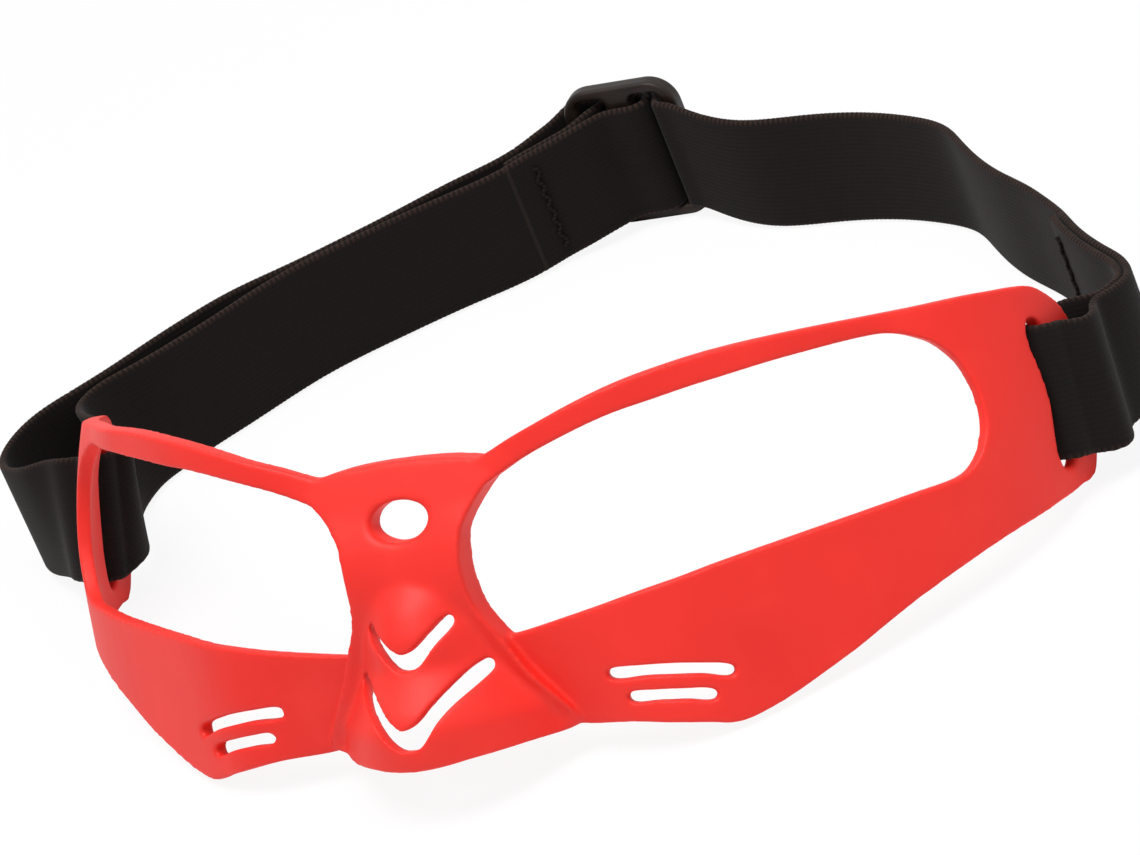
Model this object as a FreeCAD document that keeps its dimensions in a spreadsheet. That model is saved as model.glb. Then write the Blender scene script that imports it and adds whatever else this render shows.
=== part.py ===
import FreeCAD, Part
import math
import os
from FreeCAD import Vector, Rotation, Placement, Base

# Dribble goggles at rest on a table: a soft moulding held on the head by one elastic strap.
# The moulding's own axes are X to the wearer's left, Y rearward, Z up, with the oval vent near
# their origin. It lies tipped back on its blinders and its wing corners, and the strap stands on
# its lower edge behind it. Table axes share X; their Z is up from the table.

os.makedirs("parts", exist_ok=True)
doc = FreeCAD.newDocument("dribble_goggles")

# Driving sizes, in millimetres and degrees
sheet = doc.addObject("Spreadsheet::Sheet", "sizes")
SIZES = [
    # frame moulding
    ("half_width", 85.8), ("wing_depth", 60.3), ("sheet_run", 117.0),
    ("brow_height", 18.0), ("blinder_drop", 36.5), ("frame_wall", 2.3), ("brow_wall", 3.0),
    ("blinder_tuck", 0.5), ("cheek_tuck", 6.1), ("forehead_tuck", 1.5), ("right_eye_drop", 2.1),
    ("wing_lean", 4.9),
    ("recline_angle", 24.0), ("slit_height", 1.7),
    # nose piece
    ("nose_half_width", 22.0), ("nose_height", 46.0), ("nose_drop", 36.0), ("nose_reach", 11.3),
    ("bridge_wall", 4.0), ("cone_wall", 2.4), ("bridge_edge", 4.9), ("rear_overlap", 0.12),
    ("vent_half_width", 4.9), ("vent_half_height", 3.0), ("vent_above", 0.3),
    # strap slots in the wings
    ("strap_slot_width", 3.4), ("strap_slot_end_room", 0.9), ("strap_slot_run", 107.8),
    # elastic strap
    ("strap_width", 20.5), ("strap_thickness", 1.3), ("strap_loop_depth", 150.0),
    ("strap_ply_gap", 0.15), ("strap_join_gap", 0.3), ("strap_clearance", 0.3),
    # adjuster slider
    ("slider_length", 21.0), ("slider_height", 26.0), ("slider_thickness", 3.0),
    ("slider_corner_radius", 5.0), ("slider_side_bar", 2.7), ("slider_middle_bar", 4.6),
    ("slider_window_room", 0.8), ("slider_window_radius", 1.2), ("slider_edge_radius", 0.6),
    ("slider_place_side", 22.0),
    # seams
    ("seam_thread_radius", 0.3), ("seam_pitch", 1.3), ("seam_swing", 0.7), ("seam_length", 16.9),
]
for row, (name, value) in enumerate(SIZES, start=1):
    sheet.set("A%d" % row, name)
    sheet.set("B%d" % row, str(value))
    sheet.setAlias("B%d" % row, name)
doc.recompute()


def size(name):
    return float(sheet.get(name))


HALF_WIDTH, WING_DEPTH, SHEET_RUN = size("half_width"), size("wing_depth"), size("sheet_run")
BROW, DROP, WALL = size("brow_height"), size("blinder_drop"), size("frame_wall")
FRAME_HEIGHT = BROW + DROP
STRAP_W, STRAP_T, CLEAR = size("strap_width"), size("strap_thickness"), size("strap_clearance")
PLY = STRAP_T + size("strap_ply_gap")


def ramp(value):
    """Smooth step from 0 to 1."""
    t = min(max(value, 0.0), 1.0)
    return t * t * (3.0 - 2.0 * t)


def spline_through(points, **options):
    curve = Part.BSplineCurve()
    curve.interpolate(Points=points, **options)
    return curve


# Plan of the moulding's outer face, from the mirror plane to behind the wing's rear edge:
# sideways as shares of the half width, rearward as shares of the wing's depth
PLAN_SHARES = [
    (0.0, 0.0), (0.12, 0.0), (0.233, 0.003), (0.35, 0.027), (0.466, 0.086), (0.583, 0.196),
    (0.699, 0.318), (0.816, 0.458), (0.909, 0.614), (0.967, 0.779), (1.0, 1.0), (1.012, 1.18),
]
PLAN = spline_through([Vector(a * HALF_WIDTH, b * WING_DEPTH, 0) for a, b in PLAN_SHARES])
PLAN_LENGTH = PLAN.length()


def wall_at(height):
    """Wall thickness: the brow bars are thicker than the sheets below them."""
    return WALL + (size("brow_wall") - WALL) * ramp((height / BROW - 0.45) / 0.35)


def wing_lean(run, height):
    """How far the wing's sheet leans in towards the head: most at the top of its rear half."""
    upper = min(max((height / BROW + 0.333) / 1.333, 0.0), 1.1)
    along = ramp((run / SHEET_RUN - 0.5) / 0.22) * (1.0 - 0.45 * ramp((run / SHEET_RUN - 0.83) / 0.2))
    return size("wing_lean") * upper ** 1.6 * along


def frame_point(run, height, depth):
    """Place on the moulding: distance along the plan, height, and depth in from the outer face."""
    u = PLAN.parameterAtDistance(min(max(run, 0.0), PLAN_LENGTH * 0.999), PLAN.FirstParameter)
    place, along = PLAN.value(u), PLAN.tangent(u)[0]
    low = min(max((-height / DROP - 0.6) / 0.4, 0.0), 1.3)
    back = size("blinder_tuck") * low ** 1.5 * (1.0 - ramp((run / SHEET_RUN - 0.385) / 0.256))
    cheek = min(max((-height / DROP - 0.163) / 0.755, 0.0), 1.3)
    back += size("cheek_tuck") * cheek ** 1.5 * ramp((0.330 - run / SHEET_RUN) / 0.210)
    above = min(max(height / BROW / 0.433, 0.0), 1.3)
    back += size("forehead_tuck") * above * ramp((0.222 - run / SHEET_RUN) / 0.111)
    inward = depth + wing_lean(run, height)
    return Vector(place.x - inward * along.y, place.y + inward * along.x + back, height)


def even_net(count, start, end, degree=3):
    """Knots, multiplicities and the parameter each pole of an even clamped spline stands for."""
    spans = count - degree
    step = (end - start) / spans
    knots = [start + step * i for i in range(spans + 1)]
    full = [start] * degree + knots + [end] * degree
    means = [sum(full[i + 1:i + 1 + degree]) / degree for i in range(count)]
    mults = [degree + 1] + [1] * (spans - 1) + [degree + 1]
    return knots, mults, means


def net_surface(place, across, upward, columns, rows):
    """Smooth surface whose two parameters are the two numbers that the place function takes."""
    u_knots, u_mults, u_means = even_net(columns, across[0], across[1])
    v_knots, v_mults, v_means = even_net(rows, upward[0], upward[1])
    poles = [[place(a, b) for b in v_means] for a in u_means]
    surface = Part.BSplineSurface()
    surface.buildFromPolesMultsKnots(poles, u_mults, v_mults, u_knots, v_knots, False, False, 3, 3)
    return surface


def open_curve(points):
    curve = Part.Geom2d.BSplineCurve2d()
    curve.interpolate(Points=[Base.Vector2d(a, b) for a, b in points])
    return curve


def closed_curve(points):
    curve = Part.Geom2d.BSplineCurve2d()
    curve.interpolate(Points=[Base.Vector2d(a, b) for a, b in points], PeriodicFlag=True)
    return curve


def plate_solid(front, back, outline, holes):
    """Solid between two surfaces, trimmed to an outline and holes drawn in their parameters."""
    faces, wires = [], ([], [])
    for group in [outline] + [[hole] for hole in holes]:
        edges = [(curve.toShape(front), curve.toShape(back)) for curve in group]
        faces.extend(Part.makeRuledSurface(one, other) for one, other in edges)
        for k in range(2):
            wires[k].append(Part.Wire([pair[k] for pair in edges]))
    for surface, loops in ((front, wires[0]), (back, wires[1])):
        face = Part.Face(surface, loops[0])
        if len(loops) > 1:
            face.cutHoles(loops[1:])
        face.validate()
        faces.append(face)
    return closed_solid(faces)


def closed_solid(faces):
    shell = Part.makeShell(faces)
    shell.sewShape()
    solid = Part.makeSolid(Part.Shell(shell.Faces))
    if solid.Volume < 0:
        solid.reverse()
    return solid


# One side of the moulding: a C-shaped sheet round the eye opening, drawn unrolled, as shares of
# the sheet's run and of the moulding's height. Its two ends lie inside the nose piece.
BROW_SHARES = [
    (0.0906, 0.7920), (0.1128, 0.8102), (0.1291, 0.8230), (0.1624, 0.8522), (0.2034, 0.8832),
    (0.2402, 0.9106), (0.2761, 0.9343), (0.3120, 0.9544), (0.3470, 0.9690), (0.3829, 0.9799),
    (0.4197, 0.9891), (0.4932, 0.9982), (0.5689, 0.9980), (0.6523, 0.9915), (0.7415, 0.9855),
    (0.8407, 0.9806), (0.8999, 0.9734), (0.9259, 0.9700), (0.9511, 0.9580), (0.9701, 0.9334),
    (0.9868, 0.9035), (0.9988, 0.8664),
]
REAR_SHARES = [
    (0.9988, 0.8664), (1.0093, 0.7953), (1.0057, 0.6702), (0.9991, 0.5620), (0.9949, 0.4653),
    (0.9821, 0.4161), (0.9547, 0.4033),
]
LOW_SHARES = [
    (0.9547, 0.4033), (0.9274, 0.3887), (0.8974, 0.3777), (0.8795, 0.3723), (0.8436, 0.3577),
    (0.8120, 0.3431), (0.7821, 0.3266), (0.7538, 0.3084), (0.7274, 0.2883), (0.7009, 0.2682),
    (0.6761, 0.2464), (0.6513, 0.2245), (0.6274, 0.2007), (0.6034, 0.1752), (0.5803, 0.1496),
    (0.5564, 0.1241), (0.5316, 0.1004), (0.5068, 0.0766), (0.4812, 0.0529), (0.4547, 0.0310),
    (0.4282, 0.0128), (0.4060, 0.0018), (0.3897, 0.0000), (0.3684, 0.0091),
]
CHEEK_SHARES = [
    (0.3684, 0.0091), (0.3410, 0.0201), (0.3137, 0.0292), (0.2855, 0.0383), (0.2556, 0.0456),
    (0.2197, 0.0474), (0.1880, 0.0493), (0.1590, 0.0584),
]
NOSE_SIDE_SHARES = [
    (0.1590, 0.0584), (0.1513, 0.1314), (0.1214, 0.2153), (0.1009, 0.2920), (0.0940, 0.3200),
]
EYE_SHARES = [
    (0.0940, 0.3200), (0.1239, 0.3273), (0.1547, 0.3383), (0.1863, 0.3511), (0.2462, 0.3748),
    (0.3009, 0.3967), (0.3538, 0.4143), (0.4077, 0.4332), (0.4615, 0.4483), (0.5154, 0.4635),
    (0.5701, 0.4781), (0.6260, 0.4927), (0.6977, 0.5091), (0.7304, 0.5164), (0.7461, 0.5255),
    (0.7590, 0.5420), (0.7701, 0.5639), (0.7782, 0.5892), (0.7848, 0.6163), (0.7894, 0.6451),
    (0.7909, 0.6755), (0.7907, 0.7059), (0.7891, 0.7364), (0.7858, 0.7648), (0.7815, 0.7933),
    (0.7754, 0.8200), (0.7664, 0.8451), (0.7562, 0.8682), (0.7442, 0.8879), (0.7288, 0.9039),
    (0.7133, 0.9182), (0.6958, 0.9292), (0.6776, 0.9368), (0.6601, 0.9393), (0.6274, 0.9408),
    (0.5693, 0.9381), (0.5155, 0.9324), (0.4632, 0.9215), (0.4111, 0.9106), (0.3607, 0.8960),
    (0.3094, 0.8796), (0.2590, 0.8522), (0.2077, 0.8175), (0.1795, 0.7956), (0.1530, 0.7701),
    (0.1214, 0.7372), (0.0906, 0.7007),
]
BAR_END_SHARES = [(0.0906, 0.7007), (0.0872, 0.7445), (0.0906, 0.7920)]
# Two upward-bowed slits in each blinder: centre lines
SLITS_SHARES = [
    [(0.2420, 0.1836), (0.2770, 0.1828), (0.3100, 0.1780), (0.3420, 0.1690), (0.3700, 0.1575), (0.3960, 0.1420)],
    [(0.2640, 0.1136), (0.2900, 0.1118), (0.3160, 0.1068), (0.3420, 0.0990), (0.3680, 0.0870)],
]
SLOT_RUN = size("strap_slot_run")
BAR_FRONT = SLOT_RUN + size("strap_slot_width") / 2.0


def unrolled(shares):
    return [(a * SHEET_RUN, b * FRAME_HEIGHT - DROP) for a, b in shares]


def rounded_end(inner, outer, radius):
    """Points of the half round that ends a slot about its last centre, clockwise."""
    along = math.atan2(outer[1] - inner[1], outer[0] - inner[0])
    angles = [along + math.pi * turn for turn in (0.5, 0.25, 0.0, -0.25, -0.5)]
    return [(outer[0] + radius * math.cos(a), outer[1] + radius * math.sin(a)) for a in angles]


def slit_outline(line_shares):
    """Closed outline of a slit of steady height about its centre line."""
    line, half = unrolled(line_shares), size("slit_height") / 2.0
    upper = [(a, b + half) for a, b in line[1:-1]]
    lower = [(a, b - half) for a, b in reversed(line[1:-1])]
    return upper + rounded_end(line[-2], line[-1], half) + lower + rounded_end(line[1], line[0], half)


def slot_outline():
    """Closed outline of the upright strap slot."""
    half, across = STRAP_W / 2.0 + size("strap_slot_end_room"), size("strap_slot_width") / 2.0
    outline = []
    for side, ends in ((1, (-1, -0.9, -0.3, 0.3, 0.9, 1)), (-1, (1, 0.9, 0.3, -0.3, -0.9, -1))):
        for end in ends:
            inset = 0.5 if abs(end) == 1 else 1.0
            outline.append((SLOT_RUN + side * across * inset, end * half))
    return outline


OUTER = net_surface(lambda a, b: frame_point(a, b, 0.0), (0.0, SHEET_RUN * 1.05),
                    (-DROP * 1.1, BROW * 1.15), 40, 20)
INNER = net_surface(lambda a, b: frame_point(a, b, wall_at(b)), (0.0, SHEET_RUN * 1.05),
                    (-DROP * 1.1, BROW * 1.15), 40, 20)


def side_sheet(eye_drop):
    """One side's solid; the lower edge of its eye opening may sag, most of all towards the rear."""
    eye = []
    for a, b in unrolled(EYE_SHARES):
        sag = ramp((a / SHEET_RUN + 0.1) / 0.8) * ramp((-b / DROP + 0.1) / 0.35)
        eye.append((a, b - eye_drop * sag * ramp((a / SHEET_RUN - 0.094) / 0.03)))
    outline = [open_curve(unrolled(part)) for part in (BROW_SHARES, REAR_SHARES, LOW_SHARES, CHEEK_SHARES,
                                                       NOSE_SIDE_SHARES)]
    outline += [open_curve(eye), open_curve(unrolled(BAR_END_SHARES))]
    holes = [closed_curve(slot_outline())] + [closed_curve(slit_outline(line)) for line in SLITS_SHARES]
    return plate_solid(OUTER, INNER, outline, holes)


left_side = side_sheet(0.0)
right_side = side_sheet(size("right_eye_drop")).mirror(Vector(0, 0, 0), Vector(1, 0, 0))

# Nose piece, level by level from the forehead down: height above its lowest level as a share of
# the nose's height; the front's Y on the mirror plane; X and Y of the groove beside the cone; X and
# Y of the rounded ridge outside the groove. X in shares of the half width, Y of the reach.
NOSE_PROFILE_SHARES = [
    (1.040, 0.240, 0.036, 0.240, 0.680, 0.250),
    (1.000, 0.186, 0.036, 0.186, 0.659, 0.195), (0.950, 0.119, 0.036, 0.119, 0.618, 0.133),
    (0.870, 0.018, 0.036, 0.018, 0.591, 0.035), (0.824, -0.040, 0.036, -0.040, 0.555, -0.018),
    (0.770, -0.115, 0.036, -0.115, 0.495, -0.142), (0.698, -0.208, 0.036, -0.208, 0.455, -0.239),
    (0.630, -0.257, 0.036, -0.257, 0.436, -0.257), (0.587, -0.274, 0.041, -0.270, 0.436, -0.248),
    (0.565, -0.363, 0.182, -0.265, 0.441, -0.230), (0.543, -0.434, 0.236, -0.257, 0.445, -0.212),
    (0.520, -0.496, 0.277, -0.230, 0.450, -0.190), (0.493, -0.549, 0.327, -0.168, 0.459, -0.164),
    (0.433, -0.637, 0.411, -0.062, 0.500, -0.106), (0.380, -0.655, 0.455, 0.009, 0.550, -0.044),
    (0.330, -0.602, 0.493, 0.071, 0.600, 0.004), (0.283, -0.699, 0.545, 0.115, 0.650, 0.035),
    (0.237, -0.832, 0.609, 0.150, 0.705, 0.075), (0.187, -0.956, 0.691, 0.221, 0.773, 0.150),
    (0.139, -1.000, 0.777, 0.301, 0.845, 0.243), (0.104, -0.982, 0.809, 0.363, 0.900, 0.323),
    (0.078, -0.947, 0.823, 0.398, 0.923, 0.372), (0.043, -0.912, 0.855, 0.425, 0.945, 0.425),
    (-0.011, -0.858, 0.900, 0.460, 0.973, 0.478), (-0.060, -0.810, 0.930, 0.490, 0.990, 0.520),
]
NOSE_W, NOSE_H = size("nose_half_width"), size("nose_height")
NOSE_D, REACH = size("nose_drop"), size("nose_reach")
DOME_TOP_SHARE = 0.587


def nose_levels(height):
    """Centre Y, groove X and Y, ridge X and Y at a height, in millimetres."""
    level = (height + NOSE_D) / NOSE_H
    rows = NOSE_PROFILE_SHARES
    for upper, lower in zip(rows, rows[1:]):
        if level >= lower[0] or lower is rows[-1]:
            t = (level - lower[0]) / (upper[0] - lower[0])
            row = [low + (high - low) * t for low, high in zip(lower, upper)]
            return row[1] * REACH, row[2] * NOSE_W, row[3] * REACH, row[4] * NOSE_W, row[5] * REACH


def nose_front(x, height):
    centre, groove_x, groove_y, ridge_x, ridge_y = nose_levels(height)
    ax = abs(x)
    if (height + NOSE_D) / NOSE_H >= DOME_TOP_SHARE:
        return Vector(x, centre + (ridge_y - centre) * min(ax / ridge_x, 1.0) ** 2, height)
    if ax <= groove_x:
        return Vector(x, centre + (groove_y - centre) * (ax / groove_x) ** 2.2, height)
    return Vector(x, groove_y + (ridge_y - groove_y) * ramp((ax - groove_x) / (ridge_x - groove_x)), height)


def nose_back(x, height):
    front = nose_front(x, height).y
    ax, groove_x, ridge_x = abs(x), nose_levels(height)[1], nose_levels(height)[3]
    above = ramp(((height + NOSE_D) / NOSE_H - 0.48) / 0.17)
    middle = front + size("cone_wall") * (1.0 + 0.3 * min(ax / groove_x, 1.0))
    middle += (size("bridge_wall") - size("cone_wall")) * above
    behind = frame_point(ax, height, wall_at(height)).y + size("rear_overlap")
    edge = max(front + size("bridge_edge"), behind)
    inner = groove_x * (1.0 - above) + ridge_x * 0.55 * above
    share = ramp((ax - inner * 0.72) / (inner * 0.28 + (ridge_x - inner) * 0.3))
    return Vector(x, middle + (edge - middle) * share, height)


# Outline of the nose piece's right half seen from the front, in shares of its half width and height
NOSE_TOP_SHARES = [
    (0.0, 0.9783), (0.1818, 0.9761), (0.3636, 0.9700), (0.5, 0.9610), (0.6091, 0.9515), (0.6818, 0.9413),
]
NOSE_BAR_SHARES = [(0.6818, 0.9413), (0.6955, 0.9174), (0.7000, 0.8848)]
NOSE_EDGE_SHARES = [
    (0.7000, 0.8848), (0.6500, 0.8609), (0.6000, 0.8348), (0.5545, 0.8065), (0.5091, 0.7717),
    (0.4773, 0.7413), (0.4591, 0.6978), (0.4432, 0.6304), (0.4500, 0.5435), (0.4773, 0.4804),
    (0.5364, 0.4217), (0.5909, 0.3761), (0.6500, 0.3196), (0.7273, 0.2500), (0.8182, 0.1870),
    (0.8955, 0.1348), (0.9364, 0.1022), (0.9500, 0.0783), (0.9227, 0.0565),
]
NOSE_LOW_SHARES = [
    (0.9227, 0.0565), (0.8727, 0.0446), (0.7182, 0.0370), (0.5364, 0.0304), (0.3227, 0.0217),
    (0.2182, 0.0152), (0.1091, 0.0109), (0.0, 0.0087),
]
# Chevron vents, right halves from the inner vertex round the rounded tip to the outer vertex
CHEVRONS_SHARES = [
    [(0.0, 0.3783), (0.0545, 0.3870), (0.1455, 0.4217), (0.2318, 0.4609), (0.2818, 0.4783),
     (0.3182, 0.4717), (0.3182, 0.4522), (0.2364, 0.4065), (0.1455, 0.3587), (0.0727, 0.3304),
     (0.0, 0.3239)],
    [(0.0, 0.1478), (0.0682, 0.1609), (0.1636, 0.2043), (0.2955, 0.2652), (0.4182, 0.3109),
     (0.4773, 0.3152), (0.5000, 0.2957), (0.4682, 0.2674), (0.3636, 0.2239), (0.2364, 0.1674),
     (0.1364, 0.1087), (0.0636, 0.0826), (0.0, 0.0783)],
]


def nose_places(shares, side=1):
    return [(side * a * NOSE_W, b * NOSE_H - NOSE_D) for a, b in shares]


def nose_outline():
    """Top arc and lower edge run across the mirror plane; the eye sides are one curve each."""
    top = nose_places(NOSE_TOP_SHARES)
    low = nose_places(NOSE_LOW_SHARES)
    curves = [open_curve([(-a, b) for a, b in reversed(top[1:])] + top)]
    curves.append(open_curve(nose_places(NOSE_BAR_SHARES)))
    curves.append(open_curve(nose_places(NOSE_EDGE_SHARES)))
    curves.append(open_curve(low + [(-a, b) for a, b in reversed(low[:-1])]))
    curves.append(open_curve(list(reversed(nose_places(NOSE_EDGE_SHARES, -1)))))
    curves.append(open_curve(list(reversed(nose_places(NOSE_BAR_SHARES, -1)))))
    return curves


def chevron_outline(shares):
    half = nose_places(shares)
    return half + [(-a, b) for a, b in reversed(half[1:-1])]


def vent_outline():
    wide, tall, above = size("vent_half_width"), size("vent_half_height"), size("vent_above")
    turns = [2.0 * math.pi * k / 16 for k in range(16)]
    return [(wide * math.cos(a), above + tall * math.sin(a)) for a in turns]


ACROSS, UPWARD = (-NOSE_W * 1.03, NOSE_W * 1.03), (-NOSE_D * 1.05, NOSE_H - NOSE_D * 0.98)
nose_piece = plate_solid(
    net_surface(nose_front, ACROSS, UPWARD, 41, 44), net_surface(nose_back, ACROSS, UPWARD, 31, 32),
    nose_outline(),
    [closed_curve(vent_outline())] + [closed_curve(chevron_outline(part)) for part in CHEVRONS_SHARES],
)
moulding = nose_piece.fuse([left_side, right_side])
moulding = moulding.Solids[0]

# At rest the moulding is tipped back and stands on its lowest points
TIP = Rotation(Vector(1, 0, 0), -size("recline_angle"))
low_places = [frame_point(a, b, depth) for a, b in unrolled(LOW_SHARES + REAR_SHARES) for depth in (0.0, WALL)]
REST = Placement(Vector(0, 0, -min(TIP.multVec(place).z for place in low_places)), TIP)


class Path:
    """Middle line of the webbing with its width direction, as one smooth course of stations."""

    def __init__(self):
        self.places, self.leans, self.marks = [], [], {}

    def add(self, place, lean, mark=None):
        if mark:
            self.marks[mark] = len(self.places)
        self.places.append(place)
        self.leans.append(lean.normalize())

    def finish(self):
        total, lengths = 0.0, [0.0]
        for one, other in zip(self.places, self.places[1:]):
            total += one.distanceToPoint(other)
            lengths.append(total)
        self.lengths = lengths
        tips = [place + lean * (STRAP_W / 2.0) for place, lean in zip(self.places, self.leans)]
        self.line = spline_through(self.places, Parameters=lengths)
        self.tip = spline_through(tips, Parameters=lengths)

    def at(self, mark):
        return self.lengths[self.marks[mark]]

    def frame(self, u):
        place, along = self.line.value(u), self.line.tangent(u)[0]
        up = (self.tip.value(u) - place).normalize()
        out = along.cross(up).normalize()
        return place, up, out


def webbing(path, start, end, spacing):
    """Flat ribbon of the strap's width and thickness along a stretch of the path."""
    count = max(int(math.ceil((end - start) / spacing)), 4)
    steps = [start + (end - start) * k / count for k in range(count + 1)]
    corners = [[], [], [], []]
    for u in steps:
        place, up, out = path.frame(u)
        for k, (rise, side) in enumerate(((1, 1), (1, -1), (-1, -1), (-1, 1))):
            corners[k].append(place + up * (rise * STRAP_W / 2.0) + out * (side * STRAP_T / 2.0))
    curves = [spline_through(points, Parameters=steps) for points in corners]
    faces = []
    for k in range(4):
        one, other = curves[k], curves[(k + 1) % 4]
        poles = [list(pair) for pair in zip(one.getPoles(), other.getPoles())]
        side = Part.BSplineSurface()
        side.buildFromPolesMultsKnots(poles, one.getMultiplicities(), [2, 2], one.getKnots(), [0, 1],
                                      False, False, one.Degree, 1)
        faces.append(side.toShape())
    for end_place in (0, -1):
        ring = [corners[k][end_place] for k in (0, 1, 2, 3, 0)]
        faces.append(Part.Face(Part.makePolygon(ring)))
    return closed_solid(faces)


UP = Vector(0, 0, 1)
DEPTH = size("strap_loop_depth")
rear = REST.multVec(frame_point(SHEET_RUN * 0.986, 0.0, 0.0))
REST_Z = STRAP_W / 2.0
SPAN = DEPTH - rear.y
BAR_DEPTH = CLEAR + STRAP_T / 2.0
SLIDER_L, SLIDER_T = size("slider_length"), size("slider_thickness")
SLIDER_H, SLIDER_BAR = size("slider_height"), size("slider_middle_bar")
SLIDER_PLACE = Vector(-size("slider_place_side"), DEPTH + SLIDER_T / 6.0, SLIDER_H / 2.0)
STRAP_MID = SLIDER_H / 2.0 - size("slider_window_room") * 0.85


def on_wing(run, depth, side):
    """Station beside a wing's rear bar, leaning with the wing; side is 1 for the wearer's left."""
    half = STRAP_W / 2.0
    top = REST.multVec(frame_point(run, half, depth))
    low = REST.multVec(frame_point(run, -half, depth))
    middle, lean = (top + low) * 0.5, top - low
    # The wing is crowned across the strap's width, so its outer side pushes the strap out a little
    crown = REST.multVec(frame_point(run, 0.0, depth)) - middle
    middle += crown * (1.15 * ramp((WALL - depth) / (WALL + BAR_DEPTH)))
    return Vector(side * middle.x, middle.y, middle.z), Vector(side * lean.x, lean.y, lean.z)


def near_wing(shares, side):
    """Stations placed from the wing's rear edge in shares of the strap's width, with their lift and lean."""
    found = []
    for dx, dy, lift, lean_x, lean_y in shares:
        high = REST_Z + lift * (rear.z - REST_Z)
        place = Vector(side * (rear.x + dx * STRAP_W), rear.y + dy * STRAP_W, high)
        found.append((place, Vector(side * lean_x, lean_y, 1)))
    return found


def far_run(shares, heights):
    """Stations of a run round the back, in shares of the half width and of the loop's depth."""
    return [(Vector(a * HALF_WIDTH, rear.y + b * SPAN, high), Vector(0, 0, 1))
            for (a, b), high in zip(shares, heights)]


def beside_bar(share, depth, side):
    """Station beside a wing's rear bar, at a share of the way from its slot to its rear edge."""
    return on_wing(BAR_FRONT + share * (SHEET_RUN - BAR_FRONT), depth, side)


def round_bar(side, start_inside):
    """Stations of the turn through a wing's slot, from its inner to its outer side or back."""
    middle_depth = WALL / 2.0
    radius = middle_depth + BAR_DEPTH
    turn = []
    for share in (-0.5, -0.3, -0.1, 0.1, 0.3, 0.5):
        angle = math.pi * share
        run = BAR_FRONT - radius * 0.82 * math.cos(angle)
        turn.append(on_wing(run, middle_depth - radius * math.sin(angle), side))
    if not start_inside:
        turn.reverse()
    return turn


# Courses near the wings, from the bar outwards; each row is x, y, lift and the lean in x and y
LEFT_LOOP_SHARES = [
    (0.182, -0.094, 1.189, -0.130, 0.400), (0.218, 0.038, 0.962, -0.120, 0.390),
    (0.192, 0.144, 0.811, -0.100, 0.370), (0.150, 0.232, 0.736, -0.080, 0.340),
    (0.138, 0.329, 0.660, -0.060, 0.290), (0.171, 0.453, 0.472, -0.040, 0.220),
    (0.211, 0.609, 0.283, -0.020, 0.120), (0.233, 0.794, 0.094, 0.000, 0.050),
    (0.201, 0.989, 0.000, 0.000, 0.000), (0.086, 1.165, 0.000, 0.000, 0.000),
    (-0.081, 1.331, 0.000, 0.000, 0.000), (-0.257, 1.511, 0.000, 0.000, 0.000),
    (-0.430, 1.716, 0.000, 0.000, 0.000), (-0.592, 1.940, 0.000, 0.000, 0.000),
]
LEFT_TAIL_SHARES = [
    (-0.012, 0.350, 0.736, -0.100, 0.310), (-0.122, 0.214, 0.962, -0.140, 0.330),
]
RIGHT_OUTER_SHARES = [
    (0.150, -0.236, 1.792, -0.130, 0.350), (0.322, -0.125, 1.491, -0.090, 0.240),
    (0.524, -0.011, 1.038, -0.040, 0.100), (0.743, 0.135, 0.509, 0.000, 0.040),
    (0.938, 0.321, 0.170, 0.000, 0.000), (1.050, 0.550, 0.000, 0.000, 0.000),
    (1.055, 0.843, 0.000, 0.000, 0.000), (0.958, 1.135, 0.000, 0.000, 0.000),
    (0.782, 1.374, 0.000, 0.000, 0.000), (0.572, 1.638, 0.000, 0.000, 0.000),
]
RIGHT_INNER_SHARES = [
    (0.121, 1.872, 0.000, 0.020, 0.000), (0.301, 1.638, 0.000, 0.100, 0.020),
    (0.451, 1.433, 0.000, 0.220, 0.060), (0.501, 1.209, 0.019, 0.300, 0.100),
    (0.408, 0.940, 0.358, 0.220, 0.090), (0.190, 0.643, 0.962, 0.080, 0.100),
    (-0.075, 0.340, 1.264, -0.060, 0.190), (-0.262, 0.096, 1.415, -0.120, 0.310),
    (-0.280, -0.090, 1.566, -0.150, 0.420),
]
# Long runs round the back, from the left loop to the slider and from the slider to the right loop
BACK_RUN_SHARES = [
    (0.804, 0.473), (0.746, 0.528), (0.676, 0.585), (0.618, 0.640), (0.554, 0.715),
    (0.501, 0.775), (0.414, 0.825), (0.303, 0.864), (0.163, 0.888),
]
OUTER_RUN_SHARES = [
    (-0.565, 0.855), (-0.664, 0.774), (-0.758, 0.701), (-0.857, 0.631), (-0.956, 0.564),
    (-1.014, 0.505), (-1.066, 0.442),
]
INNER_RUN_SHARES = [
    (-0.972, 0.465), (-0.921, 0.528), (-0.851, 0.608), (-0.723, 0.705), (-0.594, 0.787),
    (-0.466, 0.863),
]
# Beside the slider, in shares of its length from its middle: sideways, rearward
FEED_SHARES = [(1.19, -0.475), (0.80, -0.325), (0.55, -0.190)]
LEAVE_SHARES = [(-0.61, 0.040), (-0.724, -0.145), (-0.857, -0.335)]
ARRIVE_SHARES = [(-0.66, -0.480), (-0.52, -0.415), (-0.38, -0.335), (-0.24, -0.240)]

FRONT_Y = SLIDER_T / 2.0 + CLEAR + STRAP_T / 2.0
HALF_BAR = SLIDER_BAR / 2.0
WIDE_Y = FRONT_Y + PLY
BAR_X = SLIDER_L / 2.0 - size("slider_side_bar")


def at_slider(x, y):
    return Vector(SLIDER_PLACE.x + x, SLIDER_PLACE.y + y, STRAP_MID)


def beside_slider(shares, rises):
    """Stations beside the slider, each between the strap's height at rest and its height in the slider."""
    places = [at_slider(a * SLIDER_L, b * SLIDER_L) for a, b in shares]
    for place, rise in zip(places, rises):
        place.z = REST_Z + (STRAP_MID - REST_Z) * rise
    return places


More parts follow.
